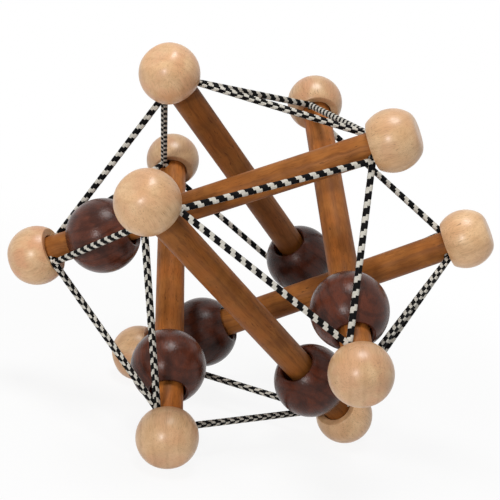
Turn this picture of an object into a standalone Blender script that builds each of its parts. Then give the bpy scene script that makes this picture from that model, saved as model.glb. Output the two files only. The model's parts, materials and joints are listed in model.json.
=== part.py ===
"""A squeeze toy: six wooden rods held apart by elastic cord, with a loose bead on each rod.

The rods lie in three parallel pairs, nearly square to each other. The cord passes through a hole
in each rod end and draws the twelve ends into eight triangles, so that no rod touches another.
Units are metres and +Z is up. The toy stands on the low balls of its three lower rods, and the
origin is the middle of the underside of its box.
"""

import itertools
import math
from dataclasses import dataclass, replace

import bmesh
import bpy
from mathutils import Matrix, Vector

TOY_NAME = "six_rod_squeeze_toy"

# Rods
ROD_SPAN = 0.129  # between the centres of a rod's two end balls
ROD_DIAMETER = 0.010
ROD_SPACING = 0.061  # between the two rods of a parallel pair
ROD_CHAMFER = 0.0006
FIRST_ROD_HEADING = math.radians(-17.5)  # of the first rod's high end, in plan

# How far the elastic lets each rod settle off the even layout. The three numbers run along the
# first, second and third rod direction.
SETTLED_LEAN = {
    "upper_rod_1": (0, math.radians(-7), 0),
    "upper_rod_2": (math.radians(3.5), 0, 0),
    "upper_rod_3": (math.radians(-3), 0, 0),
    "lower_rod_1": (0, math.radians(-5), math.radians(2)),
}
SETTLED_SHIFT = {
    "upper_rod_1": (-0.0005, -0.001, 0),
    "upper_rod_2": (0, -0.004, 0),
    "upper_rod_3": (0, -0.003, 0),
    "lower_rod_1": (0.0005, 0.0005, 0),
    "lower_rod_3": (-0.0035, 0, 0),
}

# End balls
BALL_DIAMETER = 0.0204
BALL_TIP_FLAT = 0.0110  # diameter of the flat on the ball's outer end
BALL_TIP_ROUND = 0.0020  # how far the edge of that flat is eased
BALL_FACE_RING = 0.0025  # width of the ring round the rod
BALL_FACE_HOLLOW = 0.0012  # how far that ring is hollowed towards the rod
BALL_TIP_WOOD = 0.006  # left between the socket's floor and the outer end

# Beads
BEAD_DIAMETER = 0.0255
BEAD_BORE = 0.0116
BEAD_LIP = 0.0012  # rounding at the mouths of the bore

# Elastic cord
CORD_DIAMETER = 0.0022
CORD_HOLE_DIAMETER = 0.0029
CORD_HOLE_LAND = 0.0005  # rod between the socket's mouth and the hole
CORNER_ANGLE = math.radians(60)  # between the two cords of a triangle at a rod end
CORD_END_ROUND = math.radians(30)  # how far round the end of a crossing is eased

SQUEEZE = 0.018  # how far the two rods of a pair can be pushed together
CLEARANCE = 0.0003  # between pieces that touch
MERGE_DISTANCE = 0.00001

# Facets
ROUND_SIDES = 20
HOLE_SIDES = 12
BALL_ARC_STEPS = 9
BEAD_ARC_STEPS = 9
LIP_STEPS = 2
TUBE_STEPS = 2
SHARP_ANGLE = math.radians(40)

# Colour and roughness of each material
PALE_WOOD = ("pale_wood", (0.72, 0.50, 0.29), 0.38)
HONEY_WOOD = ("honey_wood", (0.36, 0.15, 0.045), 0.42)
DARK_WOOD = ("dark_wood", (0.075, 0.028, 0.020), 0.36)
ELASTIC = ("braided_elastic", (0.22, 0.21, 0.20), 0.85)

# Derived sizes
ROD_RADIUS = ROD_DIAMETER / 2
BALL_RADIUS = BALL_DIAMETER / 2
BEAD_RADIUS = BEAD_DIAMETER / 2
CORD_RADIUS = CORD_DIAMETER / 2
SOCKET_RADIUS = ROD_RADIUS + CLEARANCE
FACE_RADIUS = SOCKET_RADIUS + BALL_FACE_RING
FACE_REACH = math.sqrt(BALL_RADIUS**2 - FACE_RADIUS**2)  # ball centre to the face's outer edge
MOUTH_REACH = FACE_REACH - BALL_FACE_HOLLOW  # ball centre to the socket's mouth
TIP_REACH = math.sqrt(BALL_RADIUS**2 - (BALL_TIP_FLAT / 2) ** 2)  # ball centre to the outer end
SOCKET_FLOOR = TIP_REACH - BALL_TIP_WOOD  # towards the outer end, from the ball's centre
ROD_LENGTH = ROD_SPAN + 2 * (SOCKET_FLOOR - CLEARANCE)
NECK_REACH = MOUTH_REACH + CORD_HOLE_LAND + CORD_HOLE_DIAMETER / 2  # ball centre to hole centre
CORD_OFFSET = ROD_RADIUS + CORD_RADIUS  # rod axis to the point where two cords meet
TIP_DISTANCE = CORD_RADIUS + CLEARANCE  # from that point to a cord's tip
HALF_CORNER = CORNER_ANGLE / 2
TIP_RADIUS = (TIP_DISTANCE * math.sin(HALF_CORNER) - CLEARANCE / 2) / math.cos(HALF_CORNER)
PARTING = (CORD_RADIUS * math.cos(HALF_CORNER) + CLEARANCE) / math.sin(HALF_CORNER)
LIP_RADIUS = BEAD_BORE / 2 + BEAD_LIP
BEAD_HALF_LENGTH = math.sqrt(BEAD_RADIUS**2 - LIP_RADIUS**2)
BEAD_HANG = (BEAD_BORE - ROD_DIAMETER) / 2 - CLEARANCE  # a bead's centre below its rod's
CUTTER_LENGTH = 2 * ROD_DIAMETER

LAYERS = {1: "upper", -1: "lower"}
ENDS = {1: "high", -1: "low"}
SIDES = (1, -1)


@dataclass
class Rod:
    """Where one rod lies: along runs to its high end, and across runs along its cord holes."""

    layer: int
    number: int
    middle: Vector
    along: Vector
    across: Vector

    def label(self, end):
        return f"{LAYERS[self.layer]}_{self.number}_{ENDS[end]}"

    def ball_centre(self, end):
        return self.middle + self.along * (end * ROD_SPAN / 2)

    def neck(self, end):
        return self.middle + self.along * (end * (ROD_SPAN / 2 - NECK_REACH))

    def cord_point(self, end, side):
        return self.neck(end) + self.across * (side * CORD_OFFSET)


@dataclass
class Cord:
    """One stretch of cord between two rod ends, each given as rod, end and side of its hole."""

    start: tuple
    finish: tuple

    def name(self):
        start_rod, start_end, _ = self.start
        finish_rod, finish_end, _ = self.finish
        return f"cord_{start_rod.label(start_end)}_to_{finish_rod.label(finish_end)}"

    def points(self):
        return tuple(rod.cord_point(end, side) for rod, end, side in (self.start, self.finish))


# Layout


def even_directions():
    """The three rod directions, square to each other and climbing alike, 120 degrees apart in plan."""
    climb = math.asin(1 / math.sqrt(3))
    directions = []
    for number in range(3):
        heading = FIRST_ROD_HEADING - number * math.radians(120)
        level = Vector((math.cos(heading), math.sin(heading), 0)) * math.cos(climb)
        directions.append(level + Vector((0, 0, math.sin(climb))))
    return directions


def weighted(directions, weights):
    return sum((d * w for d, w in zip(directions, weights)), Vector())


def lay_out_rods():
    """Every rod by layer and number, with the three even directions, standing level on its feet."""
    directions = even_directions()
    rods = {}
    for layer, number in itertools.product(SIDES, range(3)):
        name = f"{LAYERS[layer]}_rod_{number + 1}"
        lean = weighted(directions, SETTLED_LEAN.get(name, (0, 0, 0)))
        shift = weighted(directions, SETTLED_SHIFT.get(name, (0, 0, 0)))
        along = (directions[number] + lean).normalized()
        hole = directions[(number + 2) % 3]
        across = (hole - along * hole.dot(along)).normalized()
        middle = directions[(number + 1) % 3] * (layer * ROD_SPACING / 2) + shift
        rods[layer, number] = Rod(layer, number + 1, middle, along, across)
    feet = [rods[-1, number].ball_centre(-1) for number in range(3)]
    upright = (feet[2] - feet[0]).cross(feet[1] - feet[0])
    if upright.z < 0:
        upright.negate()
    level = upright.rotation_difference(Vector((0, 0, 1)))
    for rod in rods.values():
        for vector in (rod.middle, rod.along, rod.across):
            vector.rotate(level)
    for direction in directions:
        direction.rotate(level)
    return rods, directions


def thread_cords(rods):
    """The cords of the eight triangles, one triangle for each choice of three signs."""
    cords = []
    for signs in itertools.product(SIDES, repeat=3):
        corners = []
        for number in range(3):
            rod = rods[signs[(number + 1) % 3], number]
            corners.append((rod, signs[number], signs[(number + 2) % 3]))
        for number in range(3):
            cords.append(Cord(corners[number], corners[(number + 1) % 3]))
    return cords


def squeezed(rods, directions):
    """The same rods with each pair pushed together as far as it goes."""
    closer = {}
    for (layer, number), rod in rods.items():
        push = directions[(number + 1) % 3] * (layer * SQUEEZE / 2)
        closer[layer, number] = replace(rod, middle=rod.middle - push)
    return closer


def bead_hang(rod):
    """How far a bead, hanging on its rod, lies off the rod's axis."""
    down = Vector((0, 0, -1))
    return (down - rod.along * down.dot(rod.along)).normalized() * BEAD_HANG


def stop_in_layout(rod, end, cords):
    """How far from the rod's middle, towards one end, a bead's centre is when cord or ball stops it."""
    inward = rod.along * -end
    reach = BEAD_RADIUS + CORD_RADIUS + CLEARANCE
    furthest = FACE_REACH + CLEARANCE + BEAD_HALF_LENGTH - NECK_REACH
    for cord in cords:
        here, there = cord.points()
        if cord.finish[0] is rod and cord.finish[1] == end:
            here, there = there, here
        elif cord.start[0] is not rod or cord.start[1] != end:
            continue
        direction = (there - here).normalized()
        offset = here - rod.neck(end) - bead_hang(rod)
        slope = inward.dot(direction)
        lead = offset.dot(direction)
        square = 1 - slope**2
        half = inward.dot(offset) - slope * lead
        rest = offset.length_squared - lead**2 - reach**2
        furthest = max(furthest, (math.sqrt(half**2 - square * rest) + half) / square)
    return ROD_SPAN / 2 - NECK_REACH - furthest


def bead_stops(rods, directions):
    """Both stops of every bead, by rod and end. The cords swing in under a squeeze and stop it sooner."""
    layouts = (rods, squeezed(rods, directions))
    threaded = [(layout, thread_cords(layout)) for layout in layouts]
    stops = {}
    for key, end in itertools.product(rods, SIDES):
        stops[key, end] = min(stop_in_layout(layout[key], end, cords) for layout, cords in threaded)
    return stops


def bead_centre(rod, low_stop):
    """A bead lies at the low end of its rod, close to the cords there."""
    return rod.middle - rod.along * low_stop + bead_hang(rod)


# Making pieces


def clear_scene():
    for obj in list(bpy.data.objects):
        bpy.data.objects.remove(obj, do_unlink=True)


def make_material(name, colour, roughness):
    material = bpy.data.materials.new(name)
    material.use_nodes = True
    shader = material.node_tree.nodes["Principled BSDF"]
    shader.inputs["Base Color"].default_value = (*colour, 1)
    shader.inputs["Roughness"].default_value = roughness
    shader.inputs["Metallic"].default_value = 0
    material.diffuse_color = (*colour, 1)
    return material


def place(name, data, collection, parent, location, z_axis, x_axis=None):
    """An object whose Z axis, and X axis where one is given, point as asked."""
    obj = bpy.data.objects.new(name, data)
    collection.objects.link(obj)
    obj.parent = parent
    obj.location = location
    obj.rotation_mode = "QUATERNION"
    if x_axis is None:
        obj.rotation_quaternion = z_axis.to_track_quat("Z", "Y")
    else:
        axes = (x_axis, z_axis.cross(x_axis), z_axis)
        obj.rotation_quaternion = Matrix(axes).transposed().to_quaternion()
    return obj


def turned(name, profile, closed):
    """A mesh that holds only a turning profile, as (radius, height) from the top of its outer side."""
    count = len(profile)
    edges = [(i, i + 1) for i in range(count - 1)]
    if closed:
        edges.append((count - 1, 0))
    mesh = bpy.data.meshes.new(name)
    mesh.from_pydata([(radius, 0, height) for radius, height in profile], edges, [])
    return mesh


def add_turning(obj):
    screw = obj.modifiers.new("turning", "SCREW")
    screw.axis = "Z"
    screw.steps = ROUND_SIDES
    screw.render_steps = ROUND_SIDES
    screw.use_merge_vertices = True
    screw.merge_threshold = MERGE_DISTANCE
    screw.use_smooth_shade = True


def arc(radius, first, last, steps, centre=(0, 0)):
    """Points of an arc, with its angles measured from +Z towards +X."""
    points = []
    for step in range(steps + 1):
        angle = first + (last - first) * step / steps
        points.append((centre[0] + radius * math.sin(angle), centre[1] + radius * math.cos(angle)))
    return points


def cylinder(name, diameter, length, sides, matrix):
    mesh = bpy.data.meshes.new(name)
    shape = bmesh.new()
    bmesh.ops.create_cone(
        shape,
        cap_ends=True,
        segments=sides,
        radius1=diameter / 2,
        radius2=diameter / 2,
        depth=length,
        matrix=matrix,
    )
    shape.to_mesh(mesh)
    shape.free()
    mesh.shade_smooth()
    mesh.set_sharp_from_angle(angle=SHARP_ANGLE)
    return mesh


def tube(name, points):
    """A straight length of cord along Z, from (height, radius) pairs."""
    curve = bpy.data.curves.new(name, "CURVE")
    curve.dimensions = "3D"
    curve.bevel_depth = CORD_RADIUS
    curve.bevel_resolution = TUBE_STEPS
    curve.use_fill_caps = True
    spline = curve.splines.new("POLY")
    spline.points.add(len(points) - 1)
    for point, (height, radius) in zip(spline.points, points):
        point.co = (0, 0, height, 1)
        point.radius = radius / CORD_RADIUS
    return curve


# Pieces


def ball_profile():
    """A ball with an eased flat on its outer end and a socket for the rod in its hollow inner face."""
    tip_angle = math.asin(BALL_TIP_FLAT / BALL_DIAMETER)
    eased_angle = tip_angle + BALL_TIP_ROUND / BALL_RADIUS
    face_angle = math.pi - math.asin(FACE_RADIUS / BALL_RADIUS)
    profile = [(0, TIP_REACH), (BALL_TIP_FLAT / 2 - BALL_TIP_ROUND, TIP_REACH)]
    profile += arc(BALL_RADIUS, eased_angle, face_angle, BALL_ARC_STEPS)
    profile += [(SOCKET_RADIUS, -MOUTH_REACH), (SOCKET_RADIUS, SOCKET_FLOOR), (0, SOCKET_FLOOR)]
    return profile


def bead_profile():
    """A round bead with a loose bore whose mouths are rounded over."""
    lip_angle = math.asin(LIP_RADIUS / BEAD_RADIUS)
    outside = arc(BEAD_RADIUS, lip_angle, math.pi - lip_angle, BEAD_ARC_STEPS)
    lip_height = BEAD_HALF_LENGTH - BEAD_LIP
    low_lip = arc(BEAD_LIP, math.pi, math.pi * 1.5, LIP_STEPS, (LIP_RADIUS, -lip_height))
    high_lip = arc(BEAD_LIP, math.pi * 1.5, math.pi * 2, LIP_STEPS, (LIP_RADIUS, lip_height))
    return outside + low_lip[1:] + high_lip[:-1]


def make_rod(rod, mesh, cutter_mesh, parts, cutters, root):
    name = f"{LAYERS[rod.layer]}_rod_{rod.number}"
    obj = place(name, mesh, parts, root, rod.middle, rod.along, rod.across)
    chamfer = obj.modifiers.new("chamfer", "BEVEL")
    chamfer.width = ROD_CHAMFER
    chamfer.limit_method = "ANGLE"
    chamfer.segments = 1
    for end in SIDES:
        cutter = bpy.data.objects.new(f"{name}_{ENDS[end]}_hole", cutter_mesh)
        cutters.objects.link(cutter)
        cutter.parent = obj
        cutter.location = (0, 0, end * (ROD_SPAN / 2 - NECK_REACH))
        cutter.hide_render = True
        cutter.display_type = "WIRE"
        cut = obj.modifiers.new(f"{ENDS[end]}_hole", "BOOLEAN")
        cut.operation = "DIFFERENCE"
        cut.solver = "EXACT"
        cut.object = cutter


def make_balls(rod, mesh, parts, root):
    for end in SIDES:
        name = f"{LAYERS[rod.layer]}_ball_{rod.number}_{ENDS[end]}"
        outward = rod.along * end
        add_turning(place(name, mesh, parts, root, rod.ball_centre(end), outward, rod.across))


def make_bead(rod, low_stop, mesh, parts, root):
    name = f"{LAYERS[rod.layer]}_bead_{rod.number}"
    add_turning(place(name, mesh, parts, root, bead_centre(rod, low_stop), rod.along, rod.across))


def make_crossings(rod, curve, parts, root):
    """The short length of cord inside each hole, standing out a little on both sides of the rod."""
    for end in SIDES:
        place(f"cord_crossing_{rod.label(end)}", curve, parts, root, rod.neck(end), rod.across)


def make_cord(cord, parts, root, material):
    """A straight stretch of cord whose tips narrow where two cords come together."""
    start, finish = cord.points()
    length = (finish - start).length
    points = [
        (TIP_DISTANCE, TIP_RADIUS),
        (PARTING, CORD_RADIUS),
        (length - PARTING, CORD_RADIUS),
        (length - TIP_DISTANCE, TIP_RADIUS),
    ]
    curve = tube(cord.name(), points)
    curve.materials.append(material)
    place(cord.name(), curve, parts, root, start, finish - start)


def stand_on_floor(root, parts):
    """Moves the whole toy so that the middle of the underside of its box is the origin."""
    bpy.context.view_layer.update()
    graph = bpy.context.evaluated_depsgraph_get()
    low = Vector((math.inf,) * 3)
    high = -low
    for obj in parts.objects:
        if "_ball_" not in obj.name:
            continue
        solid = obj.evaluated_get(graph)
        mesh = solid.to_mesh()
        for vertex in mesh.vertices:
            point = solid.matrix_world @ vertex.co
            low = Vector(map(min, low, point))
            high = Vector(map(max, high, point))
        solid.to_mesh_clear()
    root.location = (-(low.x + high.x) / 2, -(low.y + high.y) / 2, -low.z)
    bpy.context.view_layer.update()


def main():
    clear_scene()
    parts = bpy.data.collections.new(TOY_NAME)
    cutters = bpy.data.collections.new("cutters")
    for collection in (parts, cutters):
        bpy.context.scene.collection.children.link(collection)
    root = bpy.data.objects.new(f"{TOY_NAME}_root", None)
    parts.objects.link(root)

    rods, directions = lay_out_rods()
    cords = thread_cords(rods)
    stops = bead_stops(rods, directions)

    rod_mesh = cylinder("rod", ROD_DIAMETER, ROD_LENGTH, ROUND_SIDES, Matrix())
    hole_turn = Matrix.Rotation(math.pi / 2, 4, "Y")
    hole_mesh = cylinder("cord_hole", CORD_HOLE_DIAMETER, CUTTER_LENGTH, HOLE_SIDES, hole_turn)
    ball_mesh = turned("ball", ball_profile(), closed=False)
    bead_mesh = turned("bead", bead_profile(), closed=True)
    end_height = CORD_OFFSET + CORD_RADIUS * math.sin(CORD_END_ROUND)
    end_radius = CORD_RADIUS * math.cos(CORD_END_ROUND)
    ends = [(CORD_OFFSET, CORD_RADIUS), (end_height, end_radius)]
    crossing = tube("cord_crossing", [(-z, r) for z, r in reversed(ends)] + ends)

    elastic = make_material(*ELASTIC)
    rod_mesh.materials.append(make_material(*HONEY_WOOD))
    ball_mesh.materials.append(make_material(*PALE_WOOD))
    bead_mesh.materials.append(make_material(*DARK_WOOD))
    crossing.materials.append(elastic)

    for key, rod in rods.items():
        make_rod(rod, rod_mesh, hole_mesh, parts, cutters, root)
        make_balls(rod, ball_mesh, parts, root)
        make_bead(rod, stops[key, -1], bead_mesh, parts, root)
        make_crossings(rod, crossing, parts, root)
    for cord in cords:
        make_cord(cord, parts, root, elastic)
    stand_on_floor(root, parts)


main()
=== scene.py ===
"""The six-rod squeeze toy with its finish: turned and grained wood, braided elastic, light and camera.

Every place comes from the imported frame. Units are metres, but the wood's patterns count in millimetres.
"""

import json
import math
from dataclasses import dataclass

import bmesh
import bpy
import numpy as np
from mathutils import Matrix, Vector


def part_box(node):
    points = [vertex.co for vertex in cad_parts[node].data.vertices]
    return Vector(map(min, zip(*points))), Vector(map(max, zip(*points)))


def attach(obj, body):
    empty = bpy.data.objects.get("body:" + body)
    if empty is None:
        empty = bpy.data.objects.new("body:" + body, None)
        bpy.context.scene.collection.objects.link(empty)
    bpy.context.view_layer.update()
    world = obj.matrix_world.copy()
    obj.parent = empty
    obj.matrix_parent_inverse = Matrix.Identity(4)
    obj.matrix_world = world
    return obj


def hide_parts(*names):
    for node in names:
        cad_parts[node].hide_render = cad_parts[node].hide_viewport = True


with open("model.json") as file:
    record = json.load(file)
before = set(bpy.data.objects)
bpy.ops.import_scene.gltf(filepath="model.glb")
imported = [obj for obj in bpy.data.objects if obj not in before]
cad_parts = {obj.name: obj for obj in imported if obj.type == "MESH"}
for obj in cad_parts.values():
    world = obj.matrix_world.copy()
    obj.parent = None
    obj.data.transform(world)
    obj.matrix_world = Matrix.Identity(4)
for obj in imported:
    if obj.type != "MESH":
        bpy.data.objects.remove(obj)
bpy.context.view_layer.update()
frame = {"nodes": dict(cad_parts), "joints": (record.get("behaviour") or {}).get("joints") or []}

LAYERS = ("upper", "lower")
ENDS = {"high": 1, "low": -1}
ROD_COUNT = 3  # in each layer

# Rods
ROD_DIAMETER = 0.010
ROD_CHAMFER = 0.0006
ROD_SIDES = 56
CORD_HOLE_DIAMETER = 0.0029
CORD_HOLE_LAND = 0.0005  # rod between the socket's mouth and the hole
HOLE_SIDES = 28

# End balls
BALL_DIAMETER = 0.0204
BALL_TIP_FLAT = 0.0110
BALL_TIP_ROUND = 0.0022
BALL_FACE_RING = 0.0025  # width of the hollow ring round the rod
BALL_FACE_HOLLOW = 0.0012
BALL_FACE_DISH = 0.0006  # depth of the hollow as drawn, less than the solid's
BALL_TIP_WOOD = 0.006
BALL_FACE_EASE = 0.0003  # rounding at the edges of the face round the rod
BALL_SIDES = 72
BALL_ARC_STEPS = 36

# Beads
BEAD_DIAMETER = 0.0255
BEAD_BORE = 0.0116
BEAD_LIP = 0.0012
BEAD_SIDES = 80
BEAD_ARC_STEPS = 40

EASE_STEPS = 7  # points along a small rounded edge
CLEARANCE = 0.0003  # between a rod and its socket
SHARP_ANGLE = math.radians(38)
MERGE_DISTANCE = 1e-7

# Pieces of wood drawn paler or darker than most, as factors on their colour: partly each piece's own tone,
# partly painted shade on rods deep inside the toy and painted light on rods and balls that face the lamps
# or the floor's bounce
TONE_AND_PAINTED_LIGHT_FACTORS = {
    "upper_rod_2": 0.74,
    "lower_rod_2": 0.80,
    "lower_rod_3": 1.18,
    "upper_rod_3": 1.10,
    "upper_bead_1": 1.15,
    "lower_bead_3": 1.15,
    "upper_bead_2": 0.75,
    "lower_bead_1": 0.75,
    "upper_ball_2_high": 1.08,
    "lower_ball_1_high": 1.15,
    "lower_ball_2_low": 1.12,
    "upper_ball_3_low": 0.92,
    "lower_ball_3_high": 0.82,
    "upper_ball_3_high": 0.93,
}

# Braided elastic: columns of blocks in two colours, each column made of two strips of yarn
CORD_DIAMETER = 0.0022
BRAID_DIAMETER = 0.0024  # over the yarn, which stands a little proud of the cord
COLUMN_STRIPS = 2
STRIP_SIDES = 8
REPEAT_RINGS = 14  # along a dark and a light block together
STRIP_STEP = 2  # rings from the blocks of one strip to those of the next in its column
STRIP_DIP = 0.08  # depth of the grooves, in braid radii
COLUMN_DIP = 0.05
BLOCK_DIP = 0.07
STRIP_GROOVE_POWER = 4  # a higher power makes a narrower groove
COLUMN_GROOVE_POWER = 8
CORD_START_TUCK = 0.0028  # how far a cord runs on into the wood at each end
CORD_FINISH_TUCK = 0.0045

# Derived sizes
ROD_RADIUS = ROD_DIAMETER / 2
BALL_RADIUS = BALL_DIAMETER / 2
BEAD_RADIUS = BEAD_DIAMETER / 2
CORD_RADIUS = CORD_DIAMETER / 2
BRAID_RADIUS = BRAID_DIAMETER / 2
SOCKET_RADIUS = ROD_RADIUS + CLEARANCE
FACE_RADIUS = SOCKET_RADIUS + BALL_FACE_RING
FACE_REACH = math.sqrt(BALL_RADIUS**2 - FACE_RADIUS**2)
MOUTH_REACH = FACE_REACH - BALL_FACE_HOLLOW
TIP_REACH = math.sqrt(BALL_RADIUS**2 - (BALL_TIP_FLAT / 2) ** 2)
SOCKET_FLOOR = TIP_REACH - BALL_TIP_WOOD
NECK_REACH = MOUTH_REACH + CORD_HOLE_LAND + CORD_HOLE_DIAMETER / 2
LIP_RADIUS = BEAD_BORE / 2 + BEAD_LIP
BEAD_HALF_LENGTH = math.sqrt(BEAD_RADIUS**2 - LIP_RADIUS**2)
COLUMN_SIDES = COLUMN_STRIPS * STRIP_SIDES
CROSSING_REACH = ROD_RADIUS + CORD_RADIUS / 2  # half the braid inside a cord hole


@dataclass
class Braid:
    """How one stretch of braid looks, which changes with how it is stretched and turned."""

    repeat: float = 0.0048  # a dark and a light block together
    dark: int = 8  # rings along a dark block
    columns: tuple = (-90, 90)  # where columns begin, in degrees round the cord from its front
    slant: float = 0.10  # how far a block climbs across its column, in repeats


PLAIN_BRAID = Braid()
SLACK_BRAID = Braid(repeat=0.0041, columns=(0, 90, 180, 270), slant=0.25)
EASY_BRAID = Braid(repeat=0.0040)
STRIPED_BRAID = Braid(repeat=0.0046, slant=0.45)
LADDER_BRAID = Braid(repeat=0.0034, dark=7)
SEAMED_BRAID = Braid(repeat=0.0042, columns=(0, 90, 180, 270))
OTHER_BRAIDS = {
    "cord_lower_2_high_to_lower_3_low": SLACK_BRAID,
    "cord_lower_3_low_to_upper_1_low": SLACK_BRAID,
    "cord_lower_2_low_to_lower_3_low": SLACK_BRAID,
    "cord_lower_3_low_to_lower_1_low": SLACK_BRAID,
    "cord_lower_1_low_to_lower_2_low": SLACK_BRAID,
    "cord_upper_1_low_to_upper_2_high": EASY_BRAID,
    "cord_lower_2_high_to_upper_3_low": EASY_BRAID,
    "cord_upper_3_high_to_upper_1_high": LADDER_BRAID,
    "cord_upper_1_low_to_lower_2_high": STRIPED_BRAID,
    "cord_upper_3_low_to_lower_1_high": SEAMED_BRAID,
    "cord_upper_1_high_to_upper_2_high": SEAMED_BRAID,
    "cord_upper_2_high_to_lower_3_high": SEAMED_BRAID,
}

# Camera, in the photograph's square frame
CAMERA_AIM = Vector((-0.0005, -0.0003, 0.0645))
CAMERA_AZIMUTH = math.radians(-0.07)
CAMERA_ELEVATION = math.radians(14.43)
CAMERA_ROLL = math.radians(12.72)
CAMERA_DISTANCE = 0.4324
CAMERA_SENSOR = 36  # mm
CAMERA_LENS = 89.78  # mm

# Lights. Directions run from the toy, along the camera's right, up and back.
LAMP_DISTANCE = 0.8
FRONT_DIRECTION = Vector((-0.316, 0.079, 0.944))
FRONT_SIZE = 0.11
FRONT_POWER = 2.2
TOP_DIRECTION = Vector((0.10, 0.93, 0.35))
TOP_SIZE = 0.34
TOP_POWER = 4.0
SURROUND_LEVEL = 0.20  # light from all around

# Floor. Part of its look is plain white, more so further from the toy.
FLOOR_SIZE = 6.0
FLOOR_SHADE = 0.92
FLOOR_WHITE_NEAR = 0.90
FLOOR_WHITE_FAR = 1.0
FLOOR_NEAR = 0.08
FLOOR_FAR = 0.30


def srgb(red, green, blue):
    """A colour by its 0 to 255 sRGB screen values, as the linear values that shaders take."""
    channels = []
    for value in (red, green, blue):
        share = value / 255
        channels.append(share / 12.92 if share <= 0.04045 else ((share + 0.055) / 1.055) ** 2.4)
    return (*channels, 1.0)


# Places read from the frame


@dataclass
class Rod:
    """One rod of the frame: along runs to its high end, and across runs along its cord holes."""

    layer: str
    number: int
    middle: Vector
    along: Vector
    across: Vector
    half_neck: float  # middle to a cord hole

    @property
    def body(self):
        return f"{self.layer}_rod_{self.number}"

    def label(self, end):
        return f"{self.layer}_{self.number}_{end}"

    def neck(self, end):
        return self.middle + self.along * (ENDS[end] * self.half_neck)

    def ball_centre(self, end):
        return self.middle + self.along * (ENDS[end] * (self.half_neck + NECK_REACH))


def node_centre(node):
    low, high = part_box(node)
    return (low + high) / 2


def long_axis(node):
    """The direction in which a long thin node runs."""
    points = np.array([vertex.co for vertex in frame["nodes"][node].data.vertices])
    _, directions = np.linalg.eigh(np.cov(points.T))
    return Vector(directions[:, -1])


def read_rods():
    rods = []
    for layer in LAYERS:
        for number in range(1, ROD_COUNT + 1):
            high = node_centre(f"cord_crossing_{layer}_{number}_high")
            low = node_centre(f"cord_crossing_{layer}_{number}_low")
            across = long_axis(f"cord_crossing_{layer}_{number}_high")
            span = high - low
            rods.append(Rod(layer, number, (high + low) / 2, span.normalized(), across, span.length / 2))
    return rods


def read_cords():
    """The two meeting points of each stretch of cord, by the name of its node."""
    hinges = [joint for joint in frame["joints"] if joint["type"] == "hinge"]
    pivots = {joint["child"]: Vector(joint["pos_m"]) for joint in hinges}
    return {name: (start, 2 * node_centre(name) - start) for name, start in pivots.items()}


# Making meshes


def place(name, mesh, location, z_axis, x_axis, body):
    """An object on a body, with its Z axis along z_axis and its X axis near x_axis."""
    obj = bpy.data.objects.new(name, mesh)
    bpy.context.scene.collection.objects.link(obj)
    depth = z_axis.normalized()
    side = (x_axis - depth * x_axis.dot(depth)).normalized()
    axes = Matrix((side, depth.cross(side), depth)).transposed()
    obj.matrix_world = Matrix.Translation(location) @ axes.to_4x4()
    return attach(obj, body)


def smooth(mesh):
    mesh.shade_smooth()
    mesh.set_sharp_from_angle(angle=SHARP_ANGLE)


def mark_grain_tone_and_painted_light(mesh, node, seed, tone):
    """Stores what makes one piece of wood differ from the next: its grain's place, its tone, and a factor
    on its colour holding its own tone with painted shade and painted light.
    """
    values = {"grain_seed": seed, "grain_tone": tone, "tone_and_painted_light": TONE_AND_PAINTED_LIGHT_FACTORS.get(node, 1.0)}
    for name, value in values.items():
        attribute = mesh.attributes.new(name, "FLOAT", "POINT")
        attribute.data.foreach_set("value", [value] * len(mesh.vertices))


def arc(radius, first, last, steps, centre=(0, 0)):
    """Points of an arc, with its angles measured from +Z towards +X."""
    points = []
    for step in range(steps + 1):
        angle = first + (last - first) * step / steps
        points.append((centre[0] + radius * math.sin(angle), centre[1] + radius * math.cos(angle)))
    return points


def eased(before, corner, after):
    """A small rounded edge between two points, drawn towards the corner between them."""
    ends = (before, corner, after)
    points = []
    for step in range(EASE_STEPS + 1):
        t = step / EASE_STEPS
        weights = ((1 - t) ** 2, 2 * t * (1 - t), t**2)
        points.append(tuple(sum(w * p[i] for w, p in zip(weights, ends)) for i in range(2)))
    return points


def turned_mesh(name, profile, sides, closed):
    """A mesh turned about Z from (radius, height) points that run down its outer side."""
    shape = bmesh.new()
    points = [shape.verts.new((radius, 0, height)) for radius, height in profile]
    edges = [shape.edges.new(pair) for pair in zip(points, points[1:])]
    if closed:
        edges.append(shape.edges.new((points[-1], points[0])))
    bmesh.ops.spin(
        shape,
        geom=points + edges,
        cent=(0, 0, 0),
        axis=(0, 0, 1),
        angle=2 * math.pi,
        steps=sides,
        use_merge=True,
    )
    bmesh.ops.remove_doubles(shape, verts=shape.verts, dist=MERGE_DISTANCE)
    bmesh.ops.recalc_face_normals(shape, faces=shape.faces)
    mesh = bpy.data.meshes.new(name)
    shape.to_mesh(mesh)
    shape.free()
    smooth(mesh)
    return mesh


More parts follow.
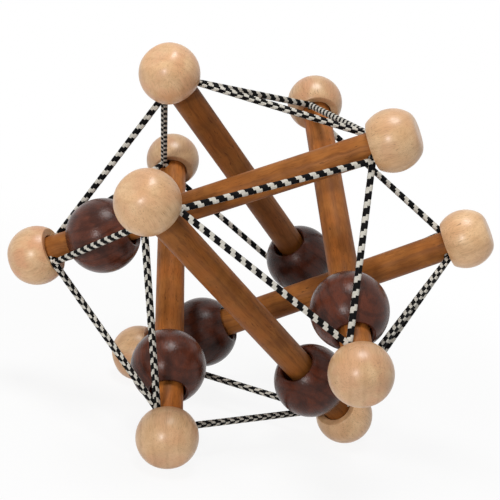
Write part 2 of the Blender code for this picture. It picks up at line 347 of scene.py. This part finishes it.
def ball_profile():
    """A ball with an eased flat on its outer end and a socket for the rod in its hollow inner face."""
    tip_angle = math.asin(BALL_TIP_FLAT / BALL_DIAMETER) + BALL_TIP_ROUND / BALL_RADIUS
    face_angle = math.pi - math.asin(FACE_RADIUS / BALL_RADIUS) - BALL_FACE_EASE / BALL_RADIUS
    side = arc(BALL_RADIUS, tip_angle, face_angle, BALL_ARC_STEPS)
    ease = (TIP_REACH - side[0][1]) / math.sin(tip_angle)
    corner = (side[0][0] - ease * math.cos(tip_angle), TIP_REACH)
    tip = eased((corner[0] - ease, TIP_REACH), corner, side[0])
    slope = BALL_FACE_DISH / BALL_FACE_RING
    rim_edge = (FACE_RADIUS - BALL_FACE_EASE, BALL_FACE_EASE * slope - FACE_REACH)
    rim = eased(side[-1], (FACE_RADIUS, -FACE_REACH), rim_edge)
    mouth_height = BALL_FACE_DISH - FACE_REACH
    mouth_edge = (SOCKET_RADIUS + BALL_FACE_EASE, mouth_height - BALL_FACE_EASE * slope)
    socket_edge = (SOCKET_RADIUS, mouth_height + BALL_FACE_EASE)
    mouth = eased(mouth_edge, (SOCKET_RADIUS, mouth_height), socket_edge)
    floor = [(SOCKET_RADIUS, SOCKET_FLOOR), (0, SOCKET_FLOOR)]
    return [(0, TIP_REACH)] + tip + side[1:-1] + rim + mouth + floor


def bead_profile():
    """A round bead with a loose bore whose mouths are rounded over."""
    lip_angle = math.asin(LIP_RADIUS / BEAD_RADIUS)
    outside = arc(BEAD_RADIUS, lip_angle, math.pi - lip_angle, BEAD_ARC_STEPS)
    lip_height = BEAD_HALF_LENGTH - BEAD_LIP
    low_lip = arc(BEAD_LIP, math.pi, math.pi * 1.5, EASE_STEPS, (LIP_RADIUS, -lip_height))
    high_lip = arc(BEAD_LIP, math.pi * 1.5, math.pi * 2, EASE_STEPS, (LIP_RADIUS, lip_height))
    return outside + low_lip[1:] + high_lip[:-1]


def rod_profile(half_length):
    radius = ROD_RADIUS
    top = [(0, half_length), (radius - ROD_CHAMFER, half_length), (radius, half_length - ROD_CHAMFER)]
    return top + [(r, -z) for r, z in reversed(top)]


def drill(obj, half_neck):
    """Cuts the two cord holes through a rod, along its X axis."""
    cutters = []
    for end in ENDS.values():
        bpy.ops.mesh.primitive_cylinder_add(
            vertices=HOLE_SIDES,
            radius=CORD_HOLE_DIAMETER / 2,
            depth=2 * ROD_DIAMETER,
        )
        cutter = bpy.context.object
        turn = Matrix.Rotation(math.pi / 2, 4, "Y")
        cutter.matrix_world = obj.matrix_world @ Matrix.Translation((0, 0, end * half_neck)) @ turn
        cut = obj.modifiers.new("hole", "BOOLEAN")
        cut.object = cutter
        cutters.append(cutter)
    graph = bpy.context.evaluated_depsgraph_get()
    whole = obj.data
    obj.data = bpy.data.meshes.new_from_object(obj.evaluated_get(graph))
    obj.modifiers.clear()
    bpy.data.meshes.remove(whole)
    for cutter in cutters:
        bpy.data.meshes.remove(cutter.data)
    smooth(obj.data)


def braid_mesh(name, length, braid):
    """A closed length of braid along Z. In a column, each strip's blocks lie a step past the last one's."""
    ring_step = braid.repeat / REPEAT_RINGS
    ring_count = math.ceil(length / ring_step) + 1
    sides = len(braid.columns) * COLUMN_SIDES
    side = np.arange(sides)
    column = side // COLUMN_SIDES
    share = side % COLUMN_SIDES / COLUMN_SIDES
    edges = np.array([*braid.columns, braid.columns[0] + 360])
    angle = np.radians(edges[column] + share * np.diff(edges)[column])
    climb = np.where(column % 2 == 0, share, 1 - share) * braid.slant * braid.repeat
    strip = side % COLUMN_SIDES // STRIP_SIDES
    lead = np.where(column % 2 == 0, strip, COLUMN_STRIPS - 1 - strip) * STRIP_STEP
    ring = np.arange(ring_count)

    strip_groove = np.cos(math.pi * (side % STRIP_SIDES) / STRIP_SIDES) ** STRIP_GROOVE_POWER
    column_groove = np.cos(math.pi * share) ** COLUMN_GROOVE_POWER
    phase = (ring[:, None] - lead[None, :] + column[None, :] * REPEAT_RINGS // 2) % REPEAT_RINGS
    block_groove = np.where((phase == 0) | (phase == braid.dark), 1.0, 0.0)
    groove = STRIP_DIP * strip_groove + COLUMN_DIP * column_groove
    radius = BRAID_RADIUS * (1 - groove[None, :] - BLOCK_DIP * block_groove)

    height = ring[:, None] * ring_step + climb[None, :]
    points = np.stack([radius * np.cos(angle), radius * np.sin(angle), height], axis=-1).reshape(-1, 3)
    points = np.vstack([points, (0, 0, height[0].mean()), (0, 0, height[-1].mean())])

    first_cap = ring_count * sides
    faces = []
    colours = []
    for i in range(ring_count - 1):
        for j in range(sides):
            here = i * sides + j
            beside = i * sides + (j + 1) % sides
            faces.append((here, beside, beside + sides, here + sides))
            colours.append(int(phase[i, j] >= braid.dark))
    last = (ring_count - 1) * sides
    for j in range(sides):
        beside = (j + 1) % sides
        faces.append((beside, j, first_cap))
        faces.append((last + j, last + beside, first_cap + 1))
        colours += [0, 0]

    mesh = bpy.data.meshes.new(name)
    mesh.from_pydata(points.tolist(), [], faces)
    mesh.polygons.foreach_set("material_index", colours)
    mesh.shade_smooth()
    return mesh


# Materials


class Shader:
    """A material with a node tree that is built up one node at a time."""

    def __init__(self, name):
        self.material = bpy.data.materials.new(name)
        self.material.use_nodes = True
        self.tree = self.material.node_tree
        self.surface = self.tree.nodes["Principled BSDF"]

    def add(self, kind, inputs, output=0, **settings):
        """Adds a node, sets or links its inputs by name or number, and gives one of its outputs."""
        node = self.tree.nodes.new(kind)
        for key, value in settings.items():
            setattr(node, key, value)
        self.fill(node, inputs)
        return node.outputs[output]

    def fill(self, node, inputs):
        for key, value in inputs.items():
            if isinstance(value, bpy.types.NodeSocket):
                self.tree.links.new(value, node.inputs[key])
            else:
                node.inputs[key].default_value = value

    def maths(self, operation, first, second):
        return self.add("ShaderNodeMath", {0: first, 1: second}, operation=operation)

    def scaled(self, vector, scale):
        return self.add("ShaderNodeVectorMath", {0: vector, 1: scale}, operation="MULTIPLY")

    def moved(self, vector, offset):
        return self.add("ShaderNodeVectorMath", {0: vector, 1: offset}, operation="ADD")

    def noise(self, vector, detail=2.0, roughness=0.5):
        inputs = {"Vector": vector, "Scale": 1.0, "Detail": detail, "Roughness": roughness}
        return self.add("ShaderNodeTexNoise", inputs)

    def remap(self, value, low, high, to_low, to_high):
        inputs = {0: value, 1: low, 2: high, 3: to_low, 4: to_high}
        return self.add("ShaderNodeMapRange", inputs, interpolation_type="SMOOTHSTEP")

    def blend(self, share, first, second, blend_type="MIX"):
        inputs = {0: share, 6: first, 7: second}
        return self.add("ShaderNodeMix", inputs, output=2, data_type="RGBA", blend_type=blend_type)


MM = (1000.0, 1000.0, 1000.0)  # metres to millimetres
SEED_SPREAD = (41.0, 67.0, 93.0)  # how far apart, in mm, two pieces lie in the same tree
RING_STRETCH = (1.0, 1.0, 0.06)  # these four are counted per mm, across the grain and along it
STREAK_STRETCH = (1.3, 1.3, 0.08)
FIBRE_STRETCH = (4.5, 4.5, 0.22)
FLECK_STRETCH = (3.4, 3.4, 0.45)
HUE_OFFSET = (17.0, 5.0, 29.0)
CLUSTER_SIZE = 8.0
WANDER_SIZE = 8.0
WANDER = 1.6
WAVE_UNIT = math.pi / 10  # the wave texture's scale at which its rings lie 1 apart
RING_DISTORTION = 1.6
RING_DETAIL = 3.0
RING_DETAIL_SCALE = 0.35
BLOTCH_RANGE = (0.32, 0.68)  # these eight are where a pattern begins and ends its effect
HUE_RANGE = (0.40, 0.65)
RING_RANGE = (0.72, 1.0)
STREAK_RANGE = (0.48, 0.75)
FIBRE_RANGE = (0.50, 0.72)
FLECK_RANGE = (0.65, 0.74)
CLUSTER_RANGE = (0.42, 0.58)
ROUGH_RANGE = (0.3, 0.8)
LEAN_SHARES = (0.1, 0.9)  # least and most that a patch leans to the tint
LEAN_BASE = 0.35  # what every piece leans, before its own tone
CLUSTER_SHARES = (0.1, 1.0)  # of the flecks, outside their clusters and inside
STREAK_RELIEF = 0.3
GRAIN_BUMP = 0.10
GRAIN_BUMP_DEPTH = 0.0002  # m
PEEL_DEPTH = 0.0003  # m
COAT_ROUGHNESS = 0.2

# How the grain's place and tone change from rod to rod, and from a rod's low ball to its high one
ROD_SEED = 0.3
ROD_SEED_STEP = 1.7
ROD_TONE_STEP = 0.37
BALL_SEED_STEP = 2.3
BALL_SEED_SIDE = 0.9
BALL_TONE_STEP = 0.29
BALL_TONE_SIDE = 0.15
BEAD_SEED = 0.7
BEAD_SEED_STEP = 3.1
BEAD_TONE_STEP = 0.43

# Yarn: its fibres and patches, counted per mm across the cord and along it, and its two colours
YARN_FIBRE_STRETCH = (7.0, 7.0, 2.2)
YARN_PATCH_STRETCH = (0.9, 0.9, 0.5)
YARN_RANGE = (0.3, 0.7)  # where both patterns begin and end their effect
YARN_FIBRE_SHARES = (0.35, 1.0)
YARN_PATCH_SHARES = (0.6, 1.0)
YARN_ROUGHNESS = (0.72, 0.92)
YARN_GLOSS = 0.1
YARN_BUMP = 0.35
YARN_BUMP_DEPTH = 0.0001  # m
YARN_SHEEN_ROUGHNESS = 0.5
BLACK_DEEP = srgb(4, 4, 5)
BLACK_LIGHT = srgb(16, 15, 16)
BLACK_SHEEN = 0.0
CREAM_DEEP = srgb(168, 163, 152)
CREAM_LIGHT = srgb(232, 228, 217)
CREAM_SHEEN = 0.05


@dataclass
class Wood:
    """The look of one kind of wood. Lengths are in millimetres, and grain runs along Z."""

    name: str
    light: tuple
    deep: tuple
    tint: tuple  # the colour that some pieces and patches lean to
    line: tuple  # growth lines, streaks and fibres
    fleck: tuple
    ring_gap: float
    ring_depth: float
    streak_depth: float
    fibre_depth: float
    fleck_depth: float
    blotch_size: float
    hue_size: float
    roughness: tuple
    coat: float
    gloss: float
    peel_size: float  # of the small dimples in the finish
    peel: float


PALE_WOOD = Wood(
    name="pale_wood",
    light=srgb(228, 190, 145),
    deep=srgb(214, 171, 125),
    tint=srgb(216, 162, 120),
    line=srgb(164, 116, 74),
    fleck=srgb(120, 80, 48),
    ring_gap=4.2,
    ring_depth=0.14,
    streak_depth=0.30,
    fibre_depth=0.44,
    fleck_depth=0.62,
    blotch_size=6.0,
    hue_size=7.0,
    roughness=(0.33, 0.43),
    coat=0.08,
    gloss=0.5,
    peel_size=1.5,
    peel=0.03,
)
HONEY_WOOD = Wood(
    name="honey_wood",
    light=srgb(168, 106, 50),
    deep=srgb(140, 84, 37),
    tint=srgb(172, 101, 43),
    line=srgb(104, 58, 22),
    fleck=srgb(58, 30, 12),
    ring_gap=3.2,
    ring_depth=0.30,
    streak_depth=0.50,
    fibre_depth=0.42,
    fleck_depth=0.75,
    blotch_size=7.0,
    hue_size=11.0,
    roughness=(0.46, 0.58),
    coat=0.0,
    gloss=0.16,
    peel_size=1.2,
    peel=0.05,
)
DARK_WOOD = Wood(
    name="dark_wood",
    light=srgb(94, 50, 36),
    deep=srgb(60, 30, 21),
    tint=srgb(98, 50, 34),
    line=srgb(42, 20, 14),
    fleck=srgb(24, 12, 9),
    ring_gap=3.4,
    ring_depth=0.36,
    streak_depth=0.5,
    fibre_depth=0.5,
    fleck_depth=0.60,
    blotch_size=5.0,
    hue_size=5.0,
    roughness=(0.22, 0.32),
    coat=0.0,
    gloss=0.20,
    peel_size=0.45,
    peel=0.22,
)


def wood_material(wood):
    shader = Shader(wood.name)
    position = shader.scaled(shader.add("ShaderNodeTexCoord", {}, output="Object"), MM)
    seed = shader.add("ShaderNodeAttribute", {}, output="Fac", attribute_name="grain_seed")
    tone = shader.add("ShaderNodeAttribute", {}, output="Fac", attribute_name="grain_tone")
    # factor on the colour: partly the piece's own tone, partly painted shade and painted light
    shade = shader.add("ShaderNodeAttribute", {}, output="Fac", attribute_name="tone_and_painted_light")
    position = shader.moved(position, shader.scaled(SEED_SPREAD, seed))
    wander = shader.noise(shader.scaled(position, (1 / WANDER_SIZE,) * 3))
    bent = shader.moved(position, shader.scaled(wander, (WANDER,) * 3))

    blotch = shader.noise(shader.scaled(position, (1 / wood.blotch_size,) * 3), detail=3.0)
    hue = shader.noise(shader.scaled(shader.moved(position, HUE_OFFSET), (1 / wood.hue_size,) * 3))
    rings = shader.add(
        "ShaderNodeTexWave",
        {
            "Vector": shader.scaled(bent, RING_STRETCH),
            "Scale": WAVE_UNIT / wood.ring_gap,
            "Distortion": RING_DISTORTION,
            "Detail": RING_DETAIL,
            "Detail Scale": RING_DETAIL_SCALE,
        },
        output="Fac",
        wave_type="RINGS",
        rings_direction="Z",
    )
    streak = shader.noise(shader.scaled(bent, STREAK_STRETCH), detail=3.0, roughness=0.6)
    fibre = shader.noise(shader.scaled(bent, FIBRE_STRETCH), detail=2.0, roughness=0.6)
    fleck = shader.noise(shader.scaled(bent, FLECK_STRETCH), detail=1.0)
    cluster = shader.noise(shader.scaled(position, (1 / CLUSTER_SIZE,) * 3))
    peel = shader.noise(shader.scaled(position, (1 / wood.peel_size,) * 3), detail=2.0)

    colour = shader.blend(shader.remap(blotch, *BLOTCH_RANGE, 0.0, 1.0), wood.deep, wood.light)
    hue_share = shader.remap(hue, *HUE_RANGE, *LEAN_SHARES)
    lean = shader.maths("MULTIPLY", hue_share, shader.maths("ADD", tone, LEAN_BASE))
    colour = shader.blend(lean, colour, wood.tint)
    lines = (
        (rings, RING_RANGE, wood.ring_depth),
        (streak, STREAK_RANGE, wood.streak_depth),
        (fibre, FIBRE_RANGE, wood.fibre_depth),
    )
    for pattern, span, depth in lines:
        colour = shader.blend(shader.remap(pattern, *span, 0.0, depth), colour, wood.line)
    fleck_share = shader.maths(
        "MULTIPLY",
        shader.remap(fleck, *FLECK_RANGE, 0.0, wood.fleck_depth),
        shader.remap(cluster, *CLUSTER_RANGE, *CLUSTER_SHARES),
    )
    colour = shader.blend(fleck_share, colour, wood.fleck)

    relief = shader.maths("SUBTRACT", shader.maths("MULTIPLY", streak, STREAK_RELIEF), fleck_share)
    grain_bump = shader.add(
        "ShaderNodeBump",
        {"Strength": GRAIN_BUMP, "Distance": GRAIN_BUMP_DEPTH, "Height": relief},
    )
    bump = shader.add(
        "ShaderNodeBump",
        {"Strength": wood.peel, "Distance": PEEL_DEPTH, "Height": peel, "Normal": grain_bump},
    )
    inputs = {
        # the colour times the piece's factor, which paints shade and light into it as well as tone
        "Base Color": shader.scaled(colour, shade),
        "Roughness": shader.remap(streak, *ROUGH_RANGE, *wood.roughness),
        "Specular IOR Level": wood.gloss,
        "Coat Weight": wood.coat,
        "Coat Roughness": COAT_ROUGHNESS,
        "Normal": bump,
    }
    shader.fill(shader.surface, inputs)
    return shader.material


def yarn_material(name, dark, light, sheen):
    """Matt yarn with fine fibres along the cord."""
    shader = Shader(name)
    position = shader.scaled(shader.add("ShaderNodeTexCoord", {}, output="Object"), MM)
    fibre = shader.noise(shader.scaled(position, YARN_FIBRE_STRETCH), detail=3.0, roughness=0.7)
    patch = shader.noise(shader.scaled(position, YARN_PATCH_STRETCH))
    share = shader.maths(
        "MULTIPLY",
        shader.remap(fibre, *YARN_RANGE, *YARN_FIBRE_SHARES),
        shader.remap(patch, *YARN_RANGE, *YARN_PATCH_SHARES),
    )
    bump = shader.add(
        "ShaderNodeBump",
        {"Strength": YARN_BUMP, "Distance": YARN_BUMP_DEPTH, "Height": fibre},
    )
    inputs = {
        "Base Color": shader.blend(share, dark, light),
        "Roughness": shader.remap(fibre, *YARN_RANGE, *YARN_ROUGHNESS),
        "Specular IOR Level": YARN_GLOSS,
        "Sheen Weight": sheen,
        "Sheen Roughness": YARN_SHEEN_ROUGHNESS,
        "Normal": bump,
    }
    shader.fill(shader.surface, inputs)
    return shader.material


# Pieces


def make_wood_pieces(rods):
    pale, honey, dark = (wood_material(wood) for wood in (PALE_WOOD, HONEY_WOOD, DARK_WOOD))
    for index, rod in enumerate(rods):
        name = rod.body
        half_length = rod.half_neck + NECK_REACH + SOCKET_FLOOR - CLEARANCE
        mesh = turned_mesh(f"{name}_turned", rod_profile(half_length), ROD_SIDES, closed=False)
        obj = place(f"{name}_turned", mesh, rod.middle, rod.along, rod.across, name)
        drill(obj, rod.half_neck)
        mark_grain_tone_and_painted_light(obj.data, name, index * ROD_SEED_STEP + ROD_SEED, index * ROD_TONE_STEP % 1)
        obj.data.materials.append(honey)
        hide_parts(name)

        for end, sign in ENDS.items():
            node = f"{rod.layer}_ball_{rod.number}_{end}"
            mesh = turned_mesh(f"{node}_turned", ball_profile(), BALL_SIDES, closed=False)
            seed = index * BALL_SEED_STEP + sign * BALL_SEED_SIDE
            tone = (index * BALL_TONE_STEP + sign * BALL_TONE_SIDE) % 1
            mark_grain_tone_and_painted_light(mesh, node, seed, tone)
            mesh.materials.append(pale)
            obj = place(f"{node}_turned", mesh, rod.ball_centre(end), rod.along * sign, rod.across, name)
            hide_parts(node)

        node = f"{rod.layer}_bead_{rod.number}"
        mesh = turned_mesh(f"{node}_turned", bead_profile(), BEAD_SIDES, closed=True)
        mark_grain_tone_and_painted_light(mesh, node, index * BEAD_SEED_STEP + BEAD_SEED, index * BEAD_TONE_STEP % 1)
        mesh.materials.append(dark)
        obj = place(f"{node}_turned", mesh, node_centre(node), rod.along, rod.across, node)
        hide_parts(node)


def make_cords(rods, cords, front):
    """Every stretch of braid, with its columns counted from the camera's side, and the crossings."""
    black = yarn_material("black_yarn", BLACK_DEEP, BLACK_LIGHT, BLACK_SHEEN)
    cream = yarn_material("cream_yarn", CREAM_DEEP, CREAM_LIGHT, CREAM_SHEEN)
    for name, (start, finish) in cords.items():
        along = (finish - start).normalized()
        first = start - along * CORD_START_TUCK
        last = finish + along * CORD_FINISH_TUCK
        length = (last - first).length
        mesh = braid_mesh(f"{name}_braid", length, OTHER_BRAIDS.get(name, PLAIN_BRAID))
        for material in (black, cream):
            mesh.materials.append(material)
        obj = place(f"{name}_braid", mesh, first, along, front, name)
        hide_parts(name)
    for rod in rods:
        for end in ENDS:
            node = f"cord_crossing_{rod.label(end)}"
            mesh = braid_mesh(f"{node}_braid", 2 * CROSSING_REACH, PLAIN_BRAID)
            for material in (black, cream):
                mesh.materials.append(material)
            first = rod.neck(end) - rod.across * CROSSING_REACH
            obj = place(f"{node}_braid", mesh, first, rod.across, rod.along, rod.body)
            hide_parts(node)


# Stage


def camera_axes():
    """The camera's right, up and back directions."""
    level = math.cos(CAMERA_ELEVATION)
    ahead = math.cos(CAMERA_AZIMUTH)
    aside = math.sin(CAMERA_AZIMUTH)
    back = Vector((aside * level, -ahead * level, math.sin(CAMERA_ELEVATION)))
    right = Vector((ahead, aside, 0))
    axes = Matrix((right, back.cross(right), back)).transposed()
    return axes @ Matrix.Rotation(CAMERA_ROLL, 3, "Z")


def add_camera(axes):
    data = bpy.data.cameras.new("camera")
    data.sensor_width = CAMERA_SENSOR
    data.lens = CAMERA_LENS
    camera = bpy.data.objects.new("camera", data)
    bpy.context.scene.collection.objects.link(camera)
    camera.matrix_world = Matrix.Translation(CAMERA_AIM + axes.col[2] * CAMERA_DISTANCE) @ axes.to_4x4()
    bpy.context.scene.camera = camera


def add_softbox(name, direction, size, power):
    data = bpy.data.lights.new(name, "AREA")
    data.shape = "DISK"
    data.size = size
    data.energy = power
    light = bpy.data.objects.new(name, data)
    bpy.context.scene.collection.objects.link(light)
    towards = direction.normalized()
    turn = towards.to_track_quat("Z", "Y").to_matrix().to_4x4()
    light.matrix_world = Matrix.Translation(CAMERA_AIM + towards * LAMP_DISTANCE) @ turn


def seen_rays(tree):
    """1 for rays that show the surroundings to the eye, straight or by reflection, and 0 for light."""
    path = tree.nodes.new("ShaderNodeLightPath")
    shares = [path.outputs[f"Is {kind} Ray"] for kind in ("Camera", "Glossy", "Transmission")]
    total = shares[0]
    for share in shares[1:]:
        larger = tree.nodes.new("ShaderNodeMath")
        larger.operation = "MAXIMUM"
        tree.links.new(total, larger.inputs[0])
        tree.links.new(share, larger.inputs[1])
        total = larger.outputs[0]
    return total


def add_surroundings():
    world = bpy.data.worlds.new("surroundings")
    world.use_nodes = True
    bpy.context.scene.world = world
    tree = world.node_tree
    background = tree.nodes["Background"]
    background.inputs["Color"].default_value = (1, 1, 1, 1)
    level = tree.nodes.new("ShaderNodeMapRange")
    tree.links.new(seen_rays(tree), level.inputs["Value"])
    level.inputs["To Min"].default_value = SURROUND_LEVEL
    level.inputs["To Max"].default_value = 1.0
    tree.links.new(level.outputs[0], background.inputs["Strength"])


def add_floor():
    bpy.ops.mesh.primitive_plane_add(size=FLOOR_SIZE)
    floor = bpy.context.object
    floor.name = "floor"
    material = bpy.data.materials.new("floor")
    material.use_nodes = True
    tree = material.node_tree
    tree.nodes.clear()
    output = tree.nodes.new("ShaderNodeOutputMaterial")
    matt = tree.nodes.new("ShaderNodeBsdfDiffuse")
    matt.inputs["Color"].default_value = (FLOOR_SHADE, FLOOR_SHADE, FLOOR_SHADE, 1)
    glow = tree.nodes.new("ShaderNodeEmission")
    place_on_floor = tree.nodes.new("ShaderNodeTexCoord")
    reach = tree.nodes.new("ShaderNodeVectorMath")
    reach.operation = "LENGTH"
    tree.links.new(place_on_floor.outputs["Object"], reach.inputs[0])
    white = tree.nodes.new("ShaderNodeMapRange")
    white.interpolation_type = "SMOOTHSTEP"
    tree.links.new(reach.outputs["Value"], white.inputs["Value"])
    white.inputs["From Min"].default_value = FLOOR_NEAR
    white.inputs["From Max"].default_value = FLOOR_FAR
    white.inputs["To Min"].default_value = FLOOR_WHITE_NEAR
    white.inputs["To Max"].default_value = FLOOR_WHITE_FAR
    share = tree.nodes.new("ShaderNodeMath")
    share.operation = "MULTIPLY"
    tree.links.new(white.outputs[0], share.inputs[1])
    tree.links.new(seen_rays(tree), share.inputs[0])
    mix = tree.nodes.new("ShaderNodeMixShader")
    tree.links.new(share.outputs[0], mix.inputs[0])
    tree.links.new(matt.outputs[0], mix.inputs[1])
    tree.links.new(glow.outputs[0], mix.inputs[2])
    tree.links.new(mix.outputs[0], output.inputs["Surface"])
    floor.data.materials.append(material)


def main():
    rods = read_rods()
    axes = camera_axes()
    add_camera(axes)
    make_cords(rods, read_cords(), axes.col[2])
    make_wood_pieces(rods)
    add_softbox("front_softbox", axes @ FRONT_DIRECTION, FRONT_SIZE, FRONT_POWER)
    add_softbox("top_softbox", axes @ TOP_DIRECTION, TOP_SIZE, TOP_POWER)
    add_surroundings()
    add_floor()
    bpy.context.scene.view_settings.view_transform = "Standard"


main()
